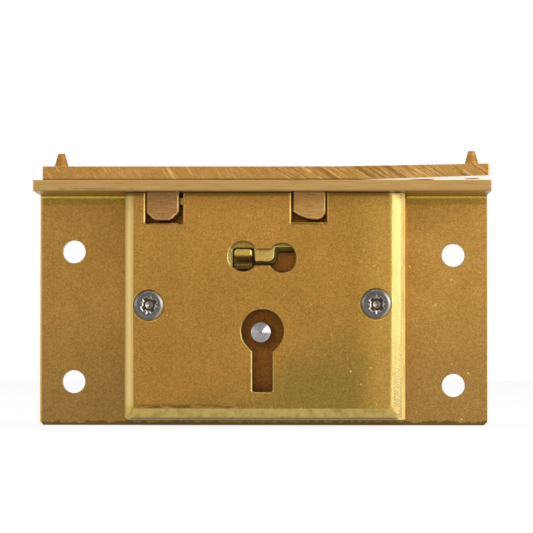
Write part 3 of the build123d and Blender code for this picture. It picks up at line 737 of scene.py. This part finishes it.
def stud_brass():
    """Posts, studs and the levers' pivot."""
    s = satin_brass("stud_brass", shift=17.0)
    s.grain(0.35, shift=17.0)
    return s.rubbed(0.1)


def stump_brass():
    """The stump: pale filed brow, with painted shade below it where it sinks away."""
    s = satin_brass("stump_brass", roughness=0.24, shift=21.0)
    s.grain(0.25, shift=21.0)
    # Painted shade on the stump below its brow, with a ragged edge.
    ragged = s.math("ADD", s.z, s.times(s.noise(0.5, detail=3.0, shift=89.0), STUMP_RAGGED))
    below = s.spread(ragged, *from_place(STUMP_BROW, STUMP_SHADE))
    s.layer(below, "shade below brow", rough=0.4, share=0.94)
    s.layer(s.between(s.z, *STUMP_LINE), "line", share=0.75)
    return s.rubbed(0.08, share=0.2)


def bolt_brass():
    """The bolt: reddish tail in the case, bright smooth fingers."""
    s = satin_brass("bolt_brass", roughness=0.24, shift=25.0)
    rust = s.noise(1.2, detail=4.0, roughness=0.7, shift=97.0)
    tail = s.spread(s.y, *BOLT_TAIL)
    s.layer(tail, "tail", rough=0.38)
    s.layer(s.times(tail, s.spread(rust, *PATCHES)), "rust", share=0.8)
    s.grain(0.35, shift=25.0)
    return s.rubbed(0.1)


def front_lever_brass():
    """The front lever: rolled brass with a level grain, painted shade along its top, and pocket edges
    painted bright and matte as a highlight.
    """
    s = satin_brass("lever_brass_front", roughness=0.3, shift=29.0)
    level = s.noise(0.2, detail=3.0, stretch=(12, 1, 1), shift=101.0)
    s.layer(s.spread(level, *PALE_GRAIN), "grain", share=0.3)
    # Painted shade along the lever's top, below the cap's edge.
    s.layer(s.spread(s.z, *LEVER_TOP), "top", share=0.85)
    s.grain(0.25, shift=29.0)
    # Painted highlight on the pocket edges, made matte where they face right so that the lamps' light
    # reaches them.
    edges = s.turned_away(*POCKET_EDGE)
    s.layer(edges, "pocket edge highlight", rough=0.5)
    s.matte = s.times(edges, s.spread(s.face_x, *POCKET_RIGHT))
    return s.rubbed(0.1)


def shaded_rear_lever_brass():
    """The levers behind the front one: a darker copy of the lever brass, painted as shade, with painted
    shade low down and a painted shadow line near the top.
    """
    s = satin_brass("lever_brass_rear_shaded", roughness=0.34, shift=37.0)
    level = s.noise(0.2, detail=3.0, stretch=(12, 1, 1), shift=103.0)
    s.layer(s.spread(level, *PALE_GRAIN), "grain", share=0.4)
    # Painted shade low on the rear levers, and a painted shadow line near their top.
    s.layer(s.spread(s.z, *REAR_LEVER_SHADE), "low", share=0.85)
    line = s.times(s.between(s.z, *REAR_LEVER_LINE), s.spread(s.x, *REAR_LEVER_LINE_START))
    s.layer(line, "line", share=0.9)
    s.grain(0.2, shift=37.0)
    return s.rubbed(0.1)


def spike_brass():
    """The link plate's turned spikes, with fine rings up their height."""
    s = satin_brass("spike_brass", roughness=0.62, shift=33.0)
    turned = s.noise(0.14, detail=2.0, stretch=(30, 30, 1), shift=107.0)
    s.layer(s.spread(turned, *PALE_LINES), "pale ring", share=0.5)
    s.layer(s.spread(turned, *DARK_LINES), "dark ring", share=0.5)
    s.height = turned
    return s.rubbed(0.1, share=0.4)


def screw_steel(node):
    """A dark turned screw, with brown dirt round the centre of its recess, and painted highlights where its
    recess, rim and centre face right.
    """
    s = Shader("screw_steel", ending=node.removeprefix("cap_screw"))
    x, z, _ = screw_place(node)
    shift_x, shift_z = SCREWS[node]["offset"]
    stain = s.noise(0.5, detail=3.0)
    rings = s.rings(x, z, 0.22)
    s.color = s.mix(s.spread(rings, *CLOSE), s.ink("cloud"), s.ink("base"))
    s.layer(s.spread(stain, *STAINS), "stain", share=0.5)
    s.rough = s.spread(rings, *EVEN, 0.18, 0.26)
    s.height = rings
    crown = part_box(node)[0][1] / MM
    away = s.far(x + shift_x, z + shift_z)
    sunk = s.spread(s.y, *from_place(crown, SCREW_CROWN))
    round_centre = s.spread(away, *from_place(CENTRE_RADIUS, CENTRE_DIRT))
    s.layer(s.times(sunk, round_centre), "dirt", rough=0.45, share=0.85)
    s.layer(s.spread(away, *from_place(CENTRE_RADIUS, CENTRE_COVER)), "centre", rough=0.36, share=0.7)
    rim = s.spread(s.far(x, z), *SCREW_RIM)
    outside = s.spread(away, *from_place(CENTRE_RADIUS, CENTRE_OUTSIDE))
    middle = s.times(s.spread(s.far(x, z), *SCREW_MIDDLE), outside)
    rightward = s.spread(s.face_x, *SCREW_RIGHT)
    s.layer(s.times(middle, s.turned_away(*SCREW_WALL)), "wall", share=0.7)
    # Painted highlights: a glint low on the recess, and the rim and the centre where they face right.
    low = s.spread(s.z, *from_place(z, SCREW_GLINT))
    s.layer(s.times(middle, rightward, low), "glint", share=0.85)
    s.layer(s.times(rim, rightward), "rim", rough=0.4, share=0.9)
    inside = s.spread(away, *from_place(CENTRE_RADIUS, CENTRE_INSIDE))
    s.layer(s.times(inside, rightward), "centre right highlight", share=0.7)
    return s.rubbed(0.05, share=0.4)


def pin_steel():
    """The key pin: bright steel, finely turned."""
    s = Shader("pin_steel")
    low, high = (Vector(corner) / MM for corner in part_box("key_pin"))
    rings = s.rings((low.x + high.x) / 2, (low.z + high.z) / 2, 0.16)
    cloud = s.noise(0.8, detail=3.0, shift=109.0)
    s.color = s.mix(s.spread(cloud, *EVEN), s.ink("cloud"), s.ink("base"))
    s.rough = s.spread(rings, *WHOLE, 0.14, 0.2)
    s.height = s.times(rings, 0.2)
    return s.rubbed(0.06, share=0.3)


def spring_steel():
    """The levers' flat springs, with a drawn grain."""
    s = Shader("spring_steel")
    grain = s.noise(0.12, detail=3.0, stretch=(6, 1, 1))
    s.color = s.mix(s.spread(grain, *EVEN), s.ink("cloud"), s.ink("base"))
    s.rough = s.spread(grain, *WHOLE, 0.24, 0.36)
    s.height = grain
    return s.rubbed(0.05, share=0.4)


def dress(material, *names):
    """Give solids a material in every slot."""
    for name in names:
        mesh = nodes[name].data
        if not mesh.materials:
            mesh.materials.append(material)
        for index in range(len(mesh.materials)):
            mesh.materials[index] = material


def make_piece(form, name, material):
    """Turn a finished form into an object with one material."""
    mesh = bpy.data.meshes.new(name)
    form.to_mesh(mesh)
    form.free()
    mesh.materials.append(material)
    piece = bpy.data.objects.new(name, mesh)
    scene.collection.objects.link(piece)
    return piece


def screw_place(node):
    """Give a cap screw's x and z and its head's radius."""
    low, high = (Vector(corner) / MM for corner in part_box(node))
    return (low.x + high.x) / 2, (low.z + high.z) / 2, (high.x - low.x) / 2


def wing_radius(angle, inward):
    """Give how far the four-winged recess reaches from its centre at an angle, drawn in by inward."""
    across = abs(cos(angle))
    upward = abs(sin(angle))
    along, aside = max(across, upward), min(across, upward)
    reach = WING_REACH - inward
    half_width = WING_HALF_WIDTH - inward * WING_TAPER
    wing = reach / along if aside / along * reach <= half_width else half_width / aside
    return max(wing, RECESS_RADIUS - inward)


def tick_depth(angle, radius):
    """Give the depth of the four tapering marks between the wings."""
    quarter = (angle + pi / 4) % (pi / 2) - pi / 4
    quarter = abs(abs(quarter) - pi / 4)
    aside = radius * sin(quarter)
    taper = max(TICK_END - radius, 0) / (TICK_END - RECESS_RADIUS)
    if taper <= 0:
        return 0.0
    return TICK_DEPTH * taper * max(1 - aside / (TICK_HALF_WIDTH * taper + TICK_SOFT), 0)


def rim_drop(radius):
    """Give how far the head's round rim lies below its flat face."""
    past = max(radius - SCREW_FLAT_RADIUS, 0)
    return SCREW_RIM_ROUND - sqrt(SCREW_RIM_ROUND**2 - past**2)


def screw_rings(head_radius, shank_end):
    """Give the screw's rings from the recess's centre to the shank's end.

    Each ring gives by angle its radius, its depth and its share of the recess's offset.
    """
    def circle(radius, depth, share=1.0):
        return lambda angle: (radius, depth, share)

    def recess(inward, depth):
        return lambda angle: (wing_radius(angle, inward), depth, 1.0)

    def face(step):
        def ring(angle):
            start = wing_radius(angle, 0) + WING_CORNER
            radius = start + (head_radius - start) * step
            return radius, rim_drop(radius) + tick_depth(angle, radius), 1 - step
        return ring

    rings = [circle(radius, CENTRE_PIT - rise) for radius, rise in CENTRE_CONE]
    rings += [circle(CENTRE_RADIUS + aside, CENTRE_DEPTH + drop) for aside, drop in CENTRE_RIM]
    rings.append(circle(CENTRE_RADIUS + CENTRE_RIM_WIDTH, RECESS_FLOOR))
    rings += [recess(inward, depth) for inward, depth in RECESS_WALL]
    rings += [face(step / FACE_STEPS) for step in range(FACE_STEPS - 1)]
    rings += [face(1 - step / FACE_STEPS) for step in LAST_FACE_STEPS]
    rings.append(circle(head_radius, SCREW_HEAD_HEIGHT, 0))
    rings.append(circle(SCREW_SHANK_RADIUS, SCREW_HEAD_HEIGHT, 0))
    rings.append(circle(SCREW_SHANK_RADIUS, shank_end, 0))
    return rings


def screw(node, material):
    """A detailed cap screw in place of its solid: a closed mesh of rings round the screw's axis."""
    low, high = (Vector(corner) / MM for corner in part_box(node))
    centre_x, centre_z, head_radius = screw_place(node)
    turn = radians(SCREWS[node]["turn"])
    shift_x, shift_z = SCREWS[node]["offset"]
    form = bmesh.new()

    def point(x, depth, z, share):
        place = Vector((centre_x + x + shift_x * share, low.y + depth, centre_z + z + shift_z * share))
        return form.verts.new(place * MM)

    loops = []
    for ring in screw_rings(head_radius, high.y - low.y):
        loop = []
        for sector in range(SCREW_SECTORS):
            angle = 2 * pi * sector / SCREW_SECTORS
            radius, depth, share = ring(angle)
            loop.append(point(radius * cos(angle + turn), depth, radius * sin(angle + turn), share))
        loops.append(loop)
    for inner, outer in zip(loops, loops[1:]):
        for sector in range(SCREW_SECTORS):
            after = (sector + 1) % SCREW_SECTORS
            form.faces.new((inner[sector], inner[after], outer[after], outer[sector]))
    for loop, depth, share in ((loops[0], CENTRE_PIT + CENTRE_POINT, 1), (loops[-1], high.y - low.y, 0)):
        middle = point(0, depth, 0, share)
        for sector in range(SCREW_SECTORS):
            form.faces.new((middle, loop[sector], loop[(sector + 1) % SCREW_SECTORS]))
    bmesh.ops.recalc_face_normals(form, faces=form.faces)
    piece = make_piece(form, node + "_detailed", material)
    piece.data.polygons.foreach_set("use_smooth", [True] * len(piece.data.polygons))
    piece.data.set_sharp_from_angle(angle=radians(SHARP_ANGLE))
    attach(piece, "case")
    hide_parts(node)


def spring_line(low, high):
    """Give the x and z of points along a spring's lower side, from its foot to its tip."""
    foot = SPRING_FOOT_STEPS
    line = [(high.x + (SPRING_HEEL - high.x) * step / foot, low.z) for step in range(foot)]
    for step in range(SPRING_STEPS + 1):
        share = step / SPRING_STEPS
        x = SPRING_HEEL + (low.x - SPRING_HEEL) * share
        z = low.z + (SPRING_TIP_HEIGHT - low.z) * share + 4 * SPRING_BOW * share * (1 - share)
        line.append((x, z))
    return line


def spring(number, material):
    """A lever's flat spring in place of its solid: a bowed strip from its foot on the lever to its tip at
    the bolt's rail.
    """
    node = f"lever_spring_{number}"
    low, high = (Vector(corner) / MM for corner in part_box(node))
    corners = ((low.y, 0), (high.y, 0), (high.y, SPRING_THICKNESS), (low.y, SPRING_THICKNESS))
    form = bmesh.new()
    sections = []
    for x, z in spring_line(low, high):
        sections.append([form.verts.new(Vector((x, y, z + lift)) * MM) for y, lift in corners])
    for near, after in zip(sections, sections[1:]):
        for side in range(4):
            form.faces.new((near[side], near[side - 1], after[side - 1], after[side]))
    form.faces.new(sections[0])
    form.faces.new(sections[-1])
    bmesh.ops.recalc_face_normals(form, faces=form.faces)
    piece = make_piece(form, node + "_bending", material)
    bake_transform(piece)
    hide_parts(node)


def make_camera():
    """Set the camera where the photograph was taken from."""
    data = bpy.data.cameras.new("camera")
    data.lens = CAMERA_LENS
    data.clip_start, data.clip_end = CAMERA_CLIP
    camera = bpy.data.objects.new("camera", data)
    turn = Matrix.Rotation(radians(CAMERA_YAW), 4, "Z") @ Matrix.Rotation(radians(CAMERA_PITCH), 4, "X")
    turn = turn @ Matrix.Rotation(radians(CAMERA_ROLL), 4, "Y") @ Matrix.Rotation(radians(90), 4, "X")
    camera.matrix_world = Matrix.Translation(Vector(CAMERA_PLACE) * MM) @ turn
    scene.collection.objects.link(camera)
    scene.camera = camera


def make_lamps():
    """Hang the soft lamps, aimed at the lock."""
    for name, lamp in LAMPS.items():
        data = bpy.data.lights.new(name, "AREA")
        data.shape = "RECTANGLE"
        data.size, data.size_y = (side * MM for side in lamp["size"])
        data.energy = lamp["radiance"] * pi * data.size * data.size_y
        holder = bpy.data.objects.new(name, data)
        holder.location = Vector(lamp["place"]) * MM
        aim = Vector(LAMP_AIM) * MM - holder.location
        holder.rotation_mode = "QUATERNION"
        holder.rotation_quaternion = aim.to_track_quat("-Z", "Y")
        scene.collection.objects.link(holder)


def ray_kinds(tree):
    """Give 1 for camera rays, and 1 for camera, glossy and transmission rays."""
    path = tree.add("ShaderNodeLightPath").outputs
    camera = path["Is Camera Ray"]
    shiny = tree.math("MAXIMUM", camera, path["Is Glossy Ray"])
    return camera, tree.math("MAXIMUM", shiny, path["Is Transmission Ray"])


def make_world():
    """A white room that is a little darker on the camera's side, which only reflections see."""
    world = bpy.data.worlds.new("studio")
    scene.world = world
    tree = Tree(world)
    camera, seen = ray_kinds(tree)
    direction = tree.add("ShaderNodeTexCoord").outputs["Generated"]
    backward = tree.add("ShaderNodeSeparateXYZ", {0: direction}).outputs["Y"]
    room = tree.spread(backward, *ROOM_FRONT_REACH, ROOM_FRONT, 1.0)
    level = tree.mix(seen, ROOM_DIFFUSE, tree.mix(camera, room, 1.0, kind="FLOAT"), kind="FLOAT")
    background = tree.add("ShaderNodeBackground", {"Strength": level, "Color": WHITE})
    tree.add("ShaderNodeOutputWorld", {"Surface": background.outputs[0]})


def floor_white():
    """A white that keeps shadows, and can't be seen from below."""
    material = bpy.data.materials.new("floor_white")
    tree = Tree(material)
    _, seen = ray_kinds(tree)
    lit = tree.add("ShaderNodeBsdfDiffuse", {"Color": FLOOR_COLOR}).outputs[0]
    glow = tree.add("ShaderNodeEmission", {"Strength": 1.0}).outputs[0]
    share = tree.math("MULTIPLY", seen, FLOOR_GLOW)
    above = tree.add("ShaderNodeMixShader", {0: share, 1: lit, 2: glow}).outputs[0]
    clear = tree.add("ShaderNodeBsdfTransparent").outputs[0]
    below = tree.add("ShaderNodeNewGeometry").outputs["Backfacing"]
    surface = tree.add("ShaderNodeMixShader", {0: below, 1: above, 2: clear}).outputs[0]
    tree.add("ShaderNodeOutputMaterial", {"Surface": surface})
    return material


def make_floor():
    """A floor under the lock, for its shadow."""
    form = bmesh.new()
    height = cad_box[0][2] - FLOOR_DROP * MM
    half = FLOOR_HALF * MM
    square = ((-1, -1), (1, -1), (1, 1), (-1, 1))
    form.faces.new([form.verts.new((x * half, y * half, height)) for x, y in square])
    floor = make_piece(form, "floor", floor_white())


make_camera()
make_lamps()
make_world()
make_floor()
scene.view_settings.view_transform = "Standard"

dress(plate_brass(), "back_plate")
dress(cap_brass(), "cap")
dress(link_brass(), "link_plate")
dress(lug_brass(), "link_lug_left", "link_lug_right")
dress(stud_brass(), "screw_post_left", "screw_post_right", "bolt_guide_stud", "lever_pivot")
dress(stump_brass(), "stump")
dress(bolt_brass(), "bolt")
dress(spike_brass(), "link_spike_left", "link_spike_right")
dress(pin_steel(), "key_pin")
dress(front_lever_brass(), "lever_4")
dress(shaded_rear_lever_brass(), "lever_1", "lever_2", "lever_3")
steel = spring_steel()
for spring_number in (1, 2, 3, 4):
    dress(steel, f"lever_spring_{spring_number}")
    spring(spring_number, steel)
for screw_node in SCREWS:
    steel = screw_steel(screw_node)
    dress(steel, screw_node)
    screw(screw_node, steel)
